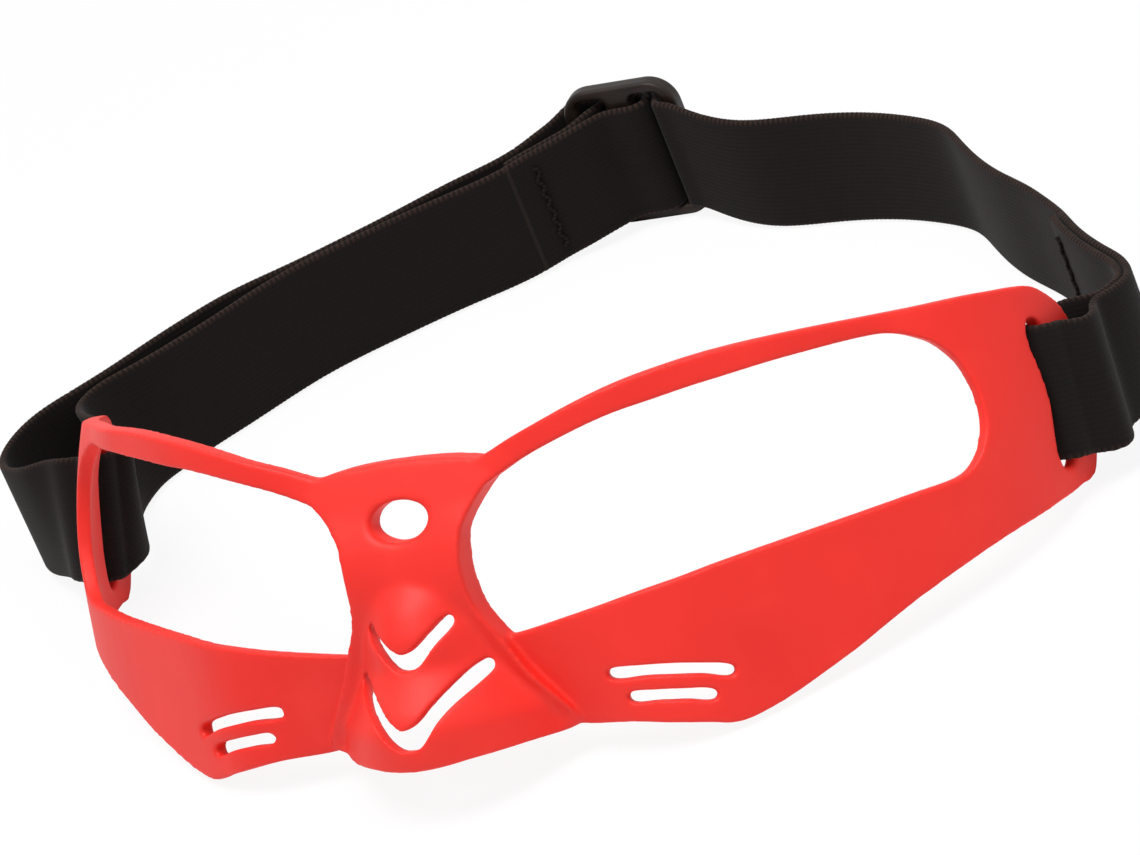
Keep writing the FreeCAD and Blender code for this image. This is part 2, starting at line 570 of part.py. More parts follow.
course = Path()
outer_ply = near_wing(LEFT_LOOP_SHARES, 1)
# The doubled end lies against the head side of the run and turns back at the wing's rear edge
doubled = Path()
for place, lean in outer_ply[3:]:
    doubled.add(place, Vector(lean))
doubled.add(*far_run(BACK_RUN_SHARES[:1], [REST_Z])[0])
doubled.finish()
for k in range(10, 1, -1):
    place, up, out = doubled.frame(doubled.lengths[k])
    course.add(place - out * PLY, Vector(up), "left_cut" if k == 10 else None)
for place, lean in near_wing(LEFT_TAIL_SHARES, 1):
    course.add(place, lean)
course.add(*beside_bar(0.86, WALL + BAR_DEPTH * 1.1, 1))
course.add(*beside_bar(0.26, WALL + BAR_DEPTH, 1))
for place, lean in round_bar(1, True):
    course.add(place, lean)
course.add(*beside_bar(0.26, -BAR_DEPTH, 1))
for place, lean in outer_ply[:-1]:
    course.add(place, lean)
course.add(*outer_ply[-1], "back_start")
for place, lean in far_run(BACK_RUN_SHARES, [REST_Z] * len(BACK_RUN_SHARES)):
    course.add(place, lean)
for k, place in enumerate(beside_slider(FEED_SHARES, [0.1, 0.4, 0.8])):
    course.add(place, Vector(UP), "slider_in" if k == 1 else None)
GAP_X = (HALF_BAR + FRONT_Y + STRAP_T / 2.0 + BAR_X) / 2.0
for x, y in ((GAP_X + SLIDER_L * 0.08, -FRONT_Y * 1.06), (GAP_X + SLIDER_L * 0.028, -FRONT_Y * 0.92),
             (GAP_X + SLIDER_L * 0.005, -FRONT_Y * 0.5), (GAP_X, 0.0),
             (HALF_BAR + WIDE_Y * 0.76, WIDE_Y * 0.76), (HALF_BAR, WIDE_Y * 1.02),
             (-HALF_BAR * 0.5, WIDE_Y * 1.02), (-HALF_BAR * 2.0, WIDE_Y * 0.94),
             (-BAR_X, FRONT_Y * 1.15), (-SLIDER_L * 0.5, FRONT_Y * 0.98)):
    course.add(at_slider(x, y), Vector(UP))
for k, place in enumerate(beside_slider(LEAVE_SHARES, [0.45, 0.25, 0.1])):
    course.add(place, Vector(UP), "slider_out" if k == 2 else None)
for place, lean in far_run(OUTER_RUN_SHARES, [REST_Z] * len(OUTER_RUN_SHARES)):
    course.add(place, lean)
right_outer = near_wing(RIGHT_OUTER_SHARES, -1)
for k, (place, lean) in enumerate(reversed(right_outer)):
    course.add(place, lean, "right_in" if k == 1 else None)
for place, lean in round_bar(-1, False):
    course.add(place, lean)
course.add(*beside_bar(0.14, WALL + BAR_DEPTH, -1))
right_inner = near_wing(RIGHT_INNER_SHARES, -1)
for k, (place, lean) in enumerate(reversed(right_inner)):
    course.add(place, lean, "right_out" if k == len(right_inner) - 1 else None)
rises = [0.0, 0.0, 0.0, 0.0, 0.0, 0.1]
inner_run = far_run(INNER_RUN_SHARES, [REST_Z + (STRAP_MID - REST_Z) * rise for rise in rises])
for place, lean in inner_run:
    course.add(place, lean, "sewn_start" if place is inner_run[-1][0] else None)
sewn_places = beside_slider(ARRIVE_SHARES, [0.3, 0.55, 0.8, 1.0])
for k, place in enumerate(sewn_places):
    course.add(place, Vector(UP), "sewn_run" if k == 0 else None)
course.add(at_slider(-HALF_BAR, -FRONT_Y * 1.12), Vector(UP))
for turn in (-0.5, -0.32, -0.14, 0.04, 0.22, 0.4, 0.5):
    angle = math.pi * turn
    course.add(at_slider(HALF_BAR + FRONT_Y * math.cos(angle), FRONT_Y * math.sin(angle)), Vector(UP))
course.add(at_slider(-HALF_BAR * 0.4, FRONT_Y), Vector(UP))
course.add(at_slider(-HALF_BAR * 1.25, FRONT_Y * 0.82), Vector(UP))
course.add(at_slider(-(HALF_BAR + BAR_X) * 0.47, FRONT_Y * 0.1), Vector(UP))
course.add(at_slider(-(HALF_BAR + BAR_X) * 0.60, -FRONT_Y * 0.8), Vector(UP))
arriving = Path()
for place, lean in inner_run[-2:]:
    arriving.add(place, Vector(lean))
for place in sewn_places:
    arriving.add(place, Vector(UP))
arriving.finish()
for back in (0.13, 0.28, 0.43, 0.58, 0.70):
    place, up, out = arriving.frame(arriving.lengths[-1] - back * SLIDER_L)
    course.add(place - out * PLY, Vector(up), "right_cut" if back == 0.70 else None)
course.finish()


# Each stretch of the webbing is a piece of its own, with a hair's gap where it meets the next
JOIN = size("strap_join_gap") / 2.0
STRETCHES = [
    ("strap_left_loop", "left_cut", "back_start"), ("strap_back_run", "back_start", "slider_in"),
    ("strap_threaded_run", "slider_in", "slider_out"), ("strap_outer_run", "slider_out", "right_in"),
    ("strap_right_loop", "right_in", "right_out"), ("strap_inner_run", "right_out", "sewn_start"),
    ("strap_sewn_end", "sewn_start", "right_cut"),
]
LONG_RUNS = ("strap_back_run", "strap_outer_run", "strap_inner_run")
pieces = {}
for name, first, last in STRETCHES:
    start = course.at(first) + (0.0 if first == "left_cut" else JOIN)
    end = course.at(last) - (0.0 if last == "right_cut" else JOIN)
    spacing = STRAP_T * (2.0 if name in LONG_RUNS else 0.6)
    pieces[name] = webbing(course, start, end, spacing)


def seam(along, side):
    """Zigzag of thread lying on one face of the webbing, across its width."""
    place, up, out = course.frame(along)
    forward = up.cross(out)
    radius, swing = size("seam_thread_radius"), size("seam_swing")
    count = int(size("seam_length") / size("seam_pitch"))
    base = place + out * (side * (STRAP_T / 2.0 + radius * 1.05))
    knots = [base + up * (size("seam_pitch") * (k - count / 2.0)) + forward * (swing * (k % 2 - 0.5))
             for k in range(count + 1)]
    thread = spline_through(knots)
    section = Part.Circle(knots[0], thread.tangent(thread.FirstParameter)[0], radius)
    ring = Part.Wire([section.toShape()])
    return Part.Wire([thread.toShape()]).makePipeShell([ring], True, False).Solids[0]


pieces["left_stitches"] = seam(course.at("left_cut") + STRAP_W * 0.14, 1)
pieces["slider_stitches"] = seam(course.at("sewn_run") - STRAP_W * 0.02, 1)

# Adjuster slider: a flat plate with two windows that leave three upright bars
slider = doc.addObject("PartDesign::Body", "slider")
plan = slider.newObject("Sketcher::SketchObject", "slider_plan")
upright = [item for item in slider.Origin.OriginFeatures if item.Role == "XZ_Plane"][0]
plan.AttachmentSupport = [(upright, "")]
plan.MapMode = "FlatFace"


def rounded_box(sketch, left, low, right, high, radius):
    """Rounded rectangle as four lines and four quarter arcs."""
    corners = [(right - radius, high - radius, 0), (left + radius, high - radius, 1),
               (left + radius, low + radius, 2), (right - radius, low + radius, 3)]
    ends = []
    for x, y, quarter in corners:
        start = quarter * math.pi / 2.0
        circle = Part.Circle(Vector(x, y, 0), Vector(0, 0, 1), radius)
        sketch.addGeometry(Part.ArcOfCircle(circle, start, start + math.pi / 2.0), False)
        ends.append([Vector(x + radius * math.cos(a), y + radius * math.sin(a), 0)
                     for a in (start, start + math.pi / 2.0)])
    for k in range(4):
        sketch.addGeometry(Part.LineSegment(ends[k][1], ends[(k + 1) % 4][0]), False)


WINDOW_HALF = STRAP_W / 2.0 + size("slider_window_room")
rounded_box(plan, -SLIDER_L / 2.0, -SLIDER_H / 2.0, SLIDER_L / 2.0, SLIDER_H / 2.0, size("slider_corner_radius"))
for side in (-1, 1):
    near, far = side * HALF_BAR, side * BAR_X
    rounded_box(plan, min(near, far), -WINDOW_HALF, max(near, far), WINDOW_HALF, size("slider_window_radius"))
doc.recompute()
plate = slider.newObject("PartDesign::Pad", "slider_plate")
plate.Profile = plan
plate.Midplane = True
plate.setExpression("Length", "sizes.slider_thickness")
doc.recompute()
rounding = slider.newObject("PartDesign::Fillet", "slider_rounding")
faces_y = SLIDER_T / 2.0
names = []
for number, edge in enumerate(plate.Shape.Edges, start=1):
    box = edge.BoundBox
    if abs(abs(box.YMin) - faces_y) < JOIN and box.YLength < JOIN:
        names.append("Edge%d" % number)
rounding.Base = (plate, names)
rounding.setExpression("Radius", "sizes.slider_edge_radius")
slider.Tip = rounding
doc.recompute()

# Everything is placed so that the part stands on the middle of its own footprint
solids = [moulding.copy()] + list(pieces.values())
solids[0].Placement = REST
bounds = [solid.optimalBoundingBox(False) for solid in solids]
middle_x = (min(b.XMin for b in bounds) + max(b.XMax for b in bounds)) / 2.0
middle_y = (min(b.YMin for b in bounds) + max(b.YMax for b in bounds)) / 2.0
SHIFT = Vector(-middle_x, -middle_y, 0)

frame_node = doc.addObject("Part::Feature", "frame_moulding")
frame_node.Shape = moulding
frame_node.Placement = Placement(SHIFT + REST.Base, REST.Rotation)
nodes = [frame_node, slider]
slider.Placement = Placement(SHIFT + SLIDER_PLACE, Rotation())
for name, shape in pieces.items():
    node = doc.addObject("Part::Feature", name)
    node.Shape = shape
    node.Placement = Placement(SHIFT, Rotation())
    nodes.append(node)
doc.recompute()

for item in doc.Objects:
    if "Invalid" in item.State or "Error" in item.State:
        raise RuntimeError("%s did not recompute" % item.Name)
for node in nodes:
    node.Label = node.Name
    shape = node.Shape
    if shape.isNull() or not shape.isValid() or len(shape.Solids) != 1:
        raise RuntimeError("%s is not one valid solid" % node.Name)
    shape.exportStep("parts/%s.step" % node.Name)
    print(node.Name, "%.1f" % shape.Volume)
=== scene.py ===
"""Training goggles: a soft moulded frame with an elastic webbing strap and an adjuster slider."""
import math

import bmesh
import bpy
from mathutils import Matrix, Vector


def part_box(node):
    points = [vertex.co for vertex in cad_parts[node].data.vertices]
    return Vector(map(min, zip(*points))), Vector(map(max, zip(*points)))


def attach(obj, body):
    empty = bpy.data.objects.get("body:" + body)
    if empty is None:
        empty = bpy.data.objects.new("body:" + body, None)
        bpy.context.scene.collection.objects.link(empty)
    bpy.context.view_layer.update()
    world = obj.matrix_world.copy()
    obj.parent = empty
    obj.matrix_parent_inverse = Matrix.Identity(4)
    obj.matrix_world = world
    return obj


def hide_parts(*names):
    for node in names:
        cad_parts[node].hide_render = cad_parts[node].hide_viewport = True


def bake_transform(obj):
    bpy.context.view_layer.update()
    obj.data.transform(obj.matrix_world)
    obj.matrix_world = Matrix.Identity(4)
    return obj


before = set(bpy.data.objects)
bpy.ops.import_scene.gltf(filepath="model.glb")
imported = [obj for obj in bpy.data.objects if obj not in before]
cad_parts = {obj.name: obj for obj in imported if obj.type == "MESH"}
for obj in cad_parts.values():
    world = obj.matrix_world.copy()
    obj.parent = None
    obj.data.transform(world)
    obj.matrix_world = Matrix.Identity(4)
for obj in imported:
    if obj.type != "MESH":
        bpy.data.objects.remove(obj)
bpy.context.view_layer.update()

# Lengths are in metres, unless a comment says millimetres, and angles are in degrees
MM = 0.001

# A CAD mesh comes as loose triangles, whose corners are joined within this distance
CAD_MERGE = 2e-6

# Moulded pieces: the cubes that a piece is remeshed in, the rounds of smoothing and the most triangles
MOULDING_CUBE, MOULDING_ROUNDS, MOULDING_TRIANGLES = 0.00032, 14, 190000
SLIDER_CUBE, SLIDER_ROUNDS, SLIDER_TRIANGLES = 0.00018, 12, 80000
SMOOTHING = 0.5

# Places of the moulding with rounder edges, each with its middle, inner and outer reach and further rounds
FOREHEAD = ((0.0081, -0.0645, 0.0392), 0.0085, 0.0125, 44)
WING_CORNERS = [((x, -0.0215, 0.0020), 0.0050, 0.0085, 50) for x in (0.0924, -0.0762)]

# A CAD ribbon: the angles that can tell its sharp edges, and how its two edges are paired and eased
SHARP_ANGLES = (45, 50, 40, 55, 35, 60)
RIBBON_CORNERS = 8
PAIR_WINDOW = 30
SLIP_COST = 0.002
PAIR_ROUNDS, RAIL_ROUNDS, THICKNESS_ROUNDS = 60, 12, 20

# Webbing: its stations, its reach past the CAD's ends, the loops of its edges and its cut ends
STATION_STEP = 0.0003
END_REACH = 0.00015
EDGE_LOOP_PITCH = 0.00095
EDGE_LOOP_SWING = 0.00011
CUT_BAND = 0.0007
FLAT_POINTS, ROUND_POINTS = 10, 5
SECTION_MERGE = 1e-7

# The weave and the band of its edge loops, in millimetres from the webbing's middle line
CORD_PITCH = 0.82
ROW_PITCH = 0.62
EDGE_BAND = (9.3, 10.3)

THREAD_TWIST = 0.0007

# Floor and world; the camera sees both in white
WHITE = (1.0, 1.0, 1.0, 1.0)
FLOOR_PAINT = (0.9, 0.9, 0.9, 1.0)
FLOOR_REACH, FLOOR_DROP = 6.0, 0.0004
FLOOR_GLOW_SHARE = 0.9
WORLD_STRENGTH, SEEN_STRENGTH = 0.36, 1.0

# Lamps, each with its azimuth, elevation, distance, size and power
LAMPS = {
    "key_lamp": (-12.0, 78.0, 1.1, 0.6, 9.9),
    "front_lamp": (5.0, 40.0, 1.2, 0.8, 0.3),
    "right_lamp": (72.0, 64.0, 0.32, 0.12, 0.17),
}

# Camera, from the photograph's viewing angle; its target, distance, lens and sensor are in millimetres
VIEW_AZIMUTH, VIEW_ELEVATION, VIEW_ROLL = 30.407, 27.024, 22.650
VIEW_TARGET = (31.91, -50.11, 40.77)
VIEW_DISTANCE = 955.88
VIEW_LENS, VIEW_SENSOR = 205.26, 36.0
VIEW_NEAR, VIEW_FAR = 0.01, 20.0

# A Mix node's colour sockets share their names with others, so they go by number
MIX_SHARE, MIX_FIRST, MIX_SECOND, MIX_COLOUR = 0, 6, 7, 2


def linear(red, green, blue):
    """A screen colour, each part from 0 to 255, as the linear colour a shader takes."""
    parts = [part / 255.0 for part in (red, green, blue)]
    parts = [part / 12.92 if part <= 0.04045 else ((part + 0.055) / 1.055) ** 2.4 for part in parts]
    return (*parts, 1.0)


class Signal:
    """A shader value; sums, products and powers of it add their own nodes."""

    def __init__(self, finish, socket):
        self.finish, self.socket = finish, socket

    def reckon(self, operation, *values):
        inputs = {place: value for place, value in enumerate(values)}
        return self.finish.add("ShaderNodeMath", {"operation": operation}, inputs)

    def __add__(self, other):
        return self.reckon("ADD", self, other)

    def __radd__(self, other):
        return self.reckon("ADD", other, self)

    def __mul__(self, other):
        return self.reckon("MULTIPLY", self, other)

    def __rmul__(self, other):
        return self.reckon("MULTIPLY", other, self)

    def __pow__(self, other):
        return self.reckon("POWER", self, other)

    def __abs__(self):
        return self.reckon("ABSOLUTE", self)

    def either(self, other):
        """The larger of two values."""
        return self.reckon("MAXIMUM", self, other)

    def wave(self, pitch):
        """A ripple from 0 to 1 that repeats each pitch."""
        return self.reckon("SINE", self * (2.0 * math.pi / pitch)) * 0.5 + 0.5

    def between(self, low, high):
        """0 below low and 1 above high, with a soft step."""
        settings = {"interpolation_type": "SMOOTHSTEP"}
        inputs = {"Value": self, "From Min": low, "From Max": high}
        return self.finish.add("ShaderNodeMapRange", settings, inputs)


class Finish:
    """The nodes of a material or of the world."""

    def __init__(self, name, kind="materials"):
        self.owner = getattr(bpy.data, kind).new(name)
        self.owner.use_nodes = True
        self.tree = self.owner.node_tree
        self.tree.nodes.clear()

    def node(self, kind, settings, inputs):
        """Adds a node; its settings come first, then the values or links of its sockets."""
        node = self.tree.nodes.new(kind)
        for key, value in settings.items():
            setattr(node, key, value)
        for key, value in inputs.items():
            if isinstance(value, Signal):
                self.tree.links.new(value.socket, node.inputs[key])
            else:
                node.inputs[key].default_value = value
        return node

    def add(self, kind, settings, inputs, output=0):
        """Adds a node and takes the signal of one of its outputs."""
        return Signal(self, self.node(kind, settings, inputs).outputs[output])

    def place(self):
        return self.add("ShaderNodeTexCoord", {}, {}, "Object")

    def ray(self, kind):
        """1 for rays of one kind and 0 for all others."""
        return self.add("ShaderNodeLightPath", {}, {}, kind)

    def noise(self, where, scale, detail=3.0, roughness=0.5):
        inputs = {"Vector": where, "Scale": scale, "Detail": detail, "Roughness": roughness}
        return self.add("ShaderNodeTexNoise", {}, inputs)

    def split(self, vector):
        """The three parts of a vector."""
        node = self.node("ShaderNodeSeparateXYZ", {}, {"Vector": vector})
        return [Signal(self, socket) for socket in node.outputs]

    def mix(self, share, first, second):
        """A colour between two others."""
        inputs = {MIX_SHARE: share, MIX_FIRST: first, MIX_SECOND: second}
        return self.add("ShaderNodeMix", {"data_type": "RGBA"}, inputs, MIX_COLOUR)

    def bump(self, height, distance, strength):
        inputs = {"Height": height, "Distance": distance, "Strength": strength}
        return self.add("ShaderNodeBump", {}, inputs)

    def shader(self, inputs):
        return self.show(self.add("ShaderNodeBsdfPrincipled", {}, inputs))

    def show(self, surface, output="ShaderNodeOutputMaterial"):
        """Ends the nodes with what they show, and gives what they belong to."""
        self.node(output, {}, {"Surface": surface})
        return self.owner


def moulding_finish():
    """Soft satin plastic with a fine moulded grain."""
    finish = Finish("moulding_red")
    where = finish.place()
    clouds = finish.noise(where, 28.0)
    flow = finish.noise(where, 110.0, 4.0)
    grain = finish.noise(where, 2600.0, 2.0, 0.6)
    colour = finish.mix(clouds.between(0.3, 0.7), linear(228, 38, 29), linear(238, 45, 35))
    colour = finish.mix(flow.between(0.55, 0.8) * 0.25, colour, linear(244, 60, 50))
    return finish.shader({
        "Base Color": colour,
        "Roughness": clouds * 0.08 + grain * 0.06 + 0.46,
        "Normal": finish.bump(grain, 0.00003, 0.5),
        "Specular IOR Level": 0.35,
        "Subsurface Weight": 0.06,
        "Subsurface Scale": 0.002,
        "Subsurface Radius": (1.0, 0.25, 0.15),
    })


def webbing_finish():
    """Elastic webbing: cords along it, rows across it and looped edges."""
    finish = Finish("webbing_black")
    uv = finish.add("ShaderNodeUVMap", {"uv_map": "webbing"}, {})
    across, along, _ = finish.split(uv)
    cords = across.wave(CORD_PITCH) ** 0.7
    rows = (along + across.wave(CORD_PITCH * 2.0) * 0.3).wave(ROW_PITCH)
    weave = cords * 0.6 + rows * 0.4
    fuzz = finish.noise(finish.place(), 5200.0, 3.0, 0.7)
    patches = finish.noise(finish.place(), 90.0, 3.0)
    loops = abs(across).between(*EDGE_BAND) * along.wave(EDGE_LOOP_PITCH / MM)
    cut = finish.add("ShaderNodeAttribute", {"attribute_name": "cut"}, {}, "Fac")
    colour = finish.mix(weave * 0.5 + fuzz * 0.5, linear(7, 5, 4), linear(23, 18, 15))
    colour = finish.mix(patches.between(0.4, 0.75) * 0.3, colour, linear(21, 15, 13))
    colour = finish.mix(loops * 0.7, colour, linear(60, 44, 38))
    colour = finish.mix(cut * fuzz, colour, linear(46, 38, 34))
    height = weave * 0.7 + fuzz * 0.3 + loops * 0.5
    return finish.shader({
        "Base Color": colour,
        "Roughness": 0.86 + fuzz * 0.1,
        "Normal": finish.bump(height, 0.00012, 0.55),
        "Specular IOR Level": 0.16,
        "Sheen Weight": 0.03,
        "Sheen Roughness": 0.5,
    })


def slider_finish():
    """Smooth dark moulded plastic, a little hazy."""
    finish = Finish("slider_black")
    where = finish.place()
    haze = finish.noise(where, 260.0, 4.0)
    grain = finish.noise(where, 4200.0, 2.0)
    scuffs = finish.noise(where, 900.0, 5.0, 0.65)
    colour = finish.mix(haze.between(0.35, 0.7), linear(27, 20, 16), linear(40, 31, 25))
    colour = finish.mix(scuffs.between(0.62, 0.8) * 0.3, colour, linear(66, 54, 47))
    return finish.shader({
        "Base Color": colour,
        "Roughness": haze * 0.12 + scuffs * 0.1 + 0.3,
        "Normal": finish.bump(haze * 0.6 + grain * 0.15, 0.00006, 0.4),
        "Specular IOR Level": 0.22,
    })


def thread_finish():
    """Twisted sewing thread."""
    finish = Finish("thread_black")
    where = finish.place()
    fuzz = finish.noise(where, 6400.0, 3.0, 0.7)
    _, _, height = finish.split(where)
    twist = height.wave(THREAD_TWIST)
    colour = finish.mix(twist * 0.6 + fuzz * 0.4, linear(8, 7, 6), linear(38, 32, 28))
    return finish.shader({
        "Base Color": colour,
        "Roughness": fuzz * 0.1 + 0.8,
        "Normal": finish.bump(twist + fuzz * 0.5, 0.00006, 0.6),
        "Specular IOR Level": 0.1,
    })


def add_object(name, data):
    item = bpy.data.objects.new(name, data)
    bpy.context.scene.collection.objects.link(item)
    return item


def new_piece(bm, name):
    mesh = bpy.data.meshes.new(name)
    bm.to_mesh(mesh)
    bm.free()
    return add_object(name, mesh)


def merged_copy(node):
    """A copy of a CAD node's mesh with its loose triangles joined up."""
    bm = bmesh.new()
    bm.from_mesh(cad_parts[node].data)
    bmesh.ops.remove_doubles(bm, verts=bm.verts, dist=CAD_MERGE)
    return bm


def settle(piece):
    """Makes a piece's modifiers part of its mesh."""
    scene = bpy.context.evaluated_depsgraph_get()
    mesh = bpy.data.meshes.new_from_object(piece.evaluated_get(scene))
    piece.modifiers.clear()
    piece.data = mesh
    mesh.shade_smooth()


def smooth(piece, rounds, group=""):
    """Rounds a piece's edges, and where a group of its points is named only there."""
    rounding = piece.modifiers.new("rounding", "SMOOTH")
    rounding.factor, rounding.iterations = SMOOTHING, rounds
    rounding.vertex_group = group
    settle(piece)


def softened(node, name, cube, rounds, most, rolled=()):
    """A moulded piece with every edge softly rounded, as it leaves its mould, in at most so many triangles.
    Rolled lists the places with rounder edges."""
    piece = new_piece(merged_copy(node), name)
    remesh = piece.modifiers.new("skin", "REMESH")
    remesh.mode, remesh.voxel_size = "VOXEL", cube
    smooth(piece, rounds)
    for middle, inner, outer, more in rolled:
        group = piece.vertex_groups.new(name="rolled")
        for vert in piece.data.vertices:
            share = (outer - (vert.co - Vector(middle)).length) / (outer - inner)
            if share > 0.0:
                group.add([vert.index], min(share, 1.0), "REPLACE")
        smooth(piece, more, group.name)
    triangles = sum(len(face.vertices) - 2 for face in piece.data.polygons)
    if triangles > most:
        thin = piece.modifiers.new("thinning", "DECIMATE")
        thin.ratio = most / triangles
        settle(piece)
    return piece


def sharp_edges(bm):
    """The sharp edges that meet at each point of a ribbon, at an angle that leaves no line broken."""
    for angle in SHARP_ANGLES:
        sharp = {}
        for edge in bm.edges:
            if len(edge.link_faces) == 2 and edge.calc_face_angle(0.0) > math.radians(angle):
                for vert in edge.verts:
                    sharp.setdefault(vert, []).append(edge)
        meetings = [len(edges) for edges in sharp.values()]
        if meetings.count(3) == RIBBON_CORNERS and meetings.count(2) == len(meetings) - RIBBON_CORNERS:
            break
    return sharp


def corner_chains(bm):
    """Every sharp line of a ribbon from corner to corner, as lists of its points."""
    sharp = sharp_edges(bm)
    chains, used = [], set()
    for corner in [vert for vert, edges in sharp.items() if len(edges) == 3]:
        for edge in sharp[corner]:
            if edge in used:
                continue
            line = [corner]
            while True:
                used.add(edge)
                line.append(edge.other_vert(line[-1]))
                onward = [other for other in sharp[line[-1]] if other not in used]
                if len(sharp[line[-1]]) != 2 or not onward:
                    break
                edge = onward[0]
            chains.append(line)
    return chains


def running_length(points):
    """How far along a line each of its points is."""
    reach = [0.0]
    for a, b in zip(points, points[1:]):
        reach.append(reach[-1] + (b - a).length)
    return reach


def chain_length(chain):
    return running_length([vert.co for vert in chain])[-1]


def ribbon_rails(bm):
    """The four long edges of a ribbon: two at its first edge, two at its second, all the same way round."""
    chains = sorted(corner_chains(bm), key=chain_length)
    rails, caps = chains[-4:], chains[:-4]
    linked = {}
    for cap in caps:
        linked.setdefault(cap[0], []).append((chain_length(cap), cap[-1]))
        linked.setdefault(cap[-1], []).append((chain_length(cap), cap[0]))

    def neighbour(corner, place):
        return sorted(linked[corner], key=lambda item: item[0])[place][1]

    first = rails[0][0]
    second = neighbour(first, -1)
    found = []
    for corner in (first, neighbour(first, 0), second, neighbour(second, 0)):
        rail = [line for line in rails if corner in (line[0], line[-1])][0]
        found.append([vert.co.copy() for vert in (rail if rail[0] is corner else rail[::-1])])
    return found


def resampled(points, count):
    """Evenly spaced points along a line."""
    reach = running_length(points)
    found, k = [], 0
    for step in range(count + 1):
        goal = reach[-1] * step / count
        while k < len(points) - 2 and reach[k + 1] < goal:
            k += 1
        share = (goal - reach[k]) / max(reach[k + 1] - reach[k], 1e-12)
        found.append(points[k].lerp(points[k + 1], min(max(share, 0.0), 1.0)))
    return found


def eased(points, rounds):
    """Points with the small steps of the CAD facets smoothed away; the ends stay."""
    for _ in range(rounds):
        inner = [(a + b * 2.0 + c) / 4.0 for a, b, c in zip(points, points[1:], points[2:])]
        points = [points[0]] + inner + [points[-1]]
    return points


def point_at(points, place):
    """The point of a line at a place that may lie between two of its points."""
    low = min(max(int(place), 0), len(points) - 2)
    return points[low].lerp(points[low + 1], min(max(place - low, 0.0), 1.0))


def across_from(first, second, width):
    """For each point of the first edge, the point of the second one that is the webbing's width away.
    Both lines start and end together; of all orderly pairings the one that keeps the width best is taken."""
    count = len(first)
    best = [{0: (0.0, 0)}]
    for i in range(1, count):
        row = {}
        for j in range(max(0, i - PAIR_WINDOW), min(count, i + PAIR_WINDOW + 1)):
            gap = ((first[i] - second[j]).length - width) / MM
            before = [k for k in (j, j - 1, j - 2) if k in best[-1]]
            if before:
                cost, k = min((best[-1][k][0] + SLIP_COST * abs(j - k - 1), k) for k in before)
                row[j] = (cost + gap * gap, k)
        best.append(row)
    pairs = [count - 1]
    for row in best[:0:-1]:
        pairs.append(row[pairs[-1]][1])
    shifts = eased([float(j - i) for i, j in enumerate(reversed(pairs))], PAIR_ROUNDS)
    return [point_at(second, i + shift) for i, shift in enumerate(shifts)]


def beside(first, second):
    """For each point of the first line, the number of the nearest point of a line that runs along it."""
    last, found = len(first) - 1, [0]
    for i in range(1, last):
        low = max(found[-1], i - PAIR_WINDOW)
        high = max(min(last + 1, i + PAIR_WINDOW), low + 1)
        found.append(min(range(low, high), key=lambda j: (second[min(j, last)] - first[i]).length))
    return [min(j, last) for j in found] + [last]


def ribbon_course(node):
    """A CAD ribbon's middle line, and its directions across and outwards at each station."""
    bm = merged_copy(node)
    rails = ribbon_rails(bm)
    bm.free()
    count = int(running_length(rails[0])[-1] / STATION_STEP)
    width = (rails[0][0] - rails[2][0]).length
    top, inner_top, low, inner_low = [resampled(rail, count) for rail in rails]
    low = across_from(top, low, width)
    inner_low = across_from(inner_top, inner_low, width)
    line = [(a + b) / 2.0 for a, b in zip(top, low)]
    inner_line = [(a + b) / 2.0 for a, b in zip(inner_top, inner_low)]
    near = beside(line, inner_line)
    inner_top, inner_low = [inner_top[j] for j in near], [inner_low[j] for j in near]
    sides = list(zip(*[eased(rail, RAIL_ROUNDS) for rail in (top, inner_top, low, inner_low)]))
    middle = [(a + b + c + d) / 4.0 for a, b, c, d in sides]
    widths = [(a + b - c - d) / 4.0 for a, b, c, d in sides]
    thick = [(a - b + c - d) / 4.0 for a, b, c, d in sides]
    return middle, widths, eased(thick, THICKNESS_ROUNDS)


def ring_profile(flat):
    """Points round the webbing's section, as shares of its half width and half thickness.
    Its two faces are flat up to a share of the half width, and round edges join them."""
    ring = []
    for k in range(FLAT_POINTS):
        ring.append((flat * (1.0 - 2.0 * k / (FLAT_POINTS - 1)), 1.0))
    for k in range(1, ROUND_POINTS + 1):
        turn = math.pi * k / (ROUND_POINTS + 1)
        ring.append((-flat - (1.0 - flat) * math.sin(turn), math.cos(turn)))
    return ring + [(-a, -b) for a, b in ring]


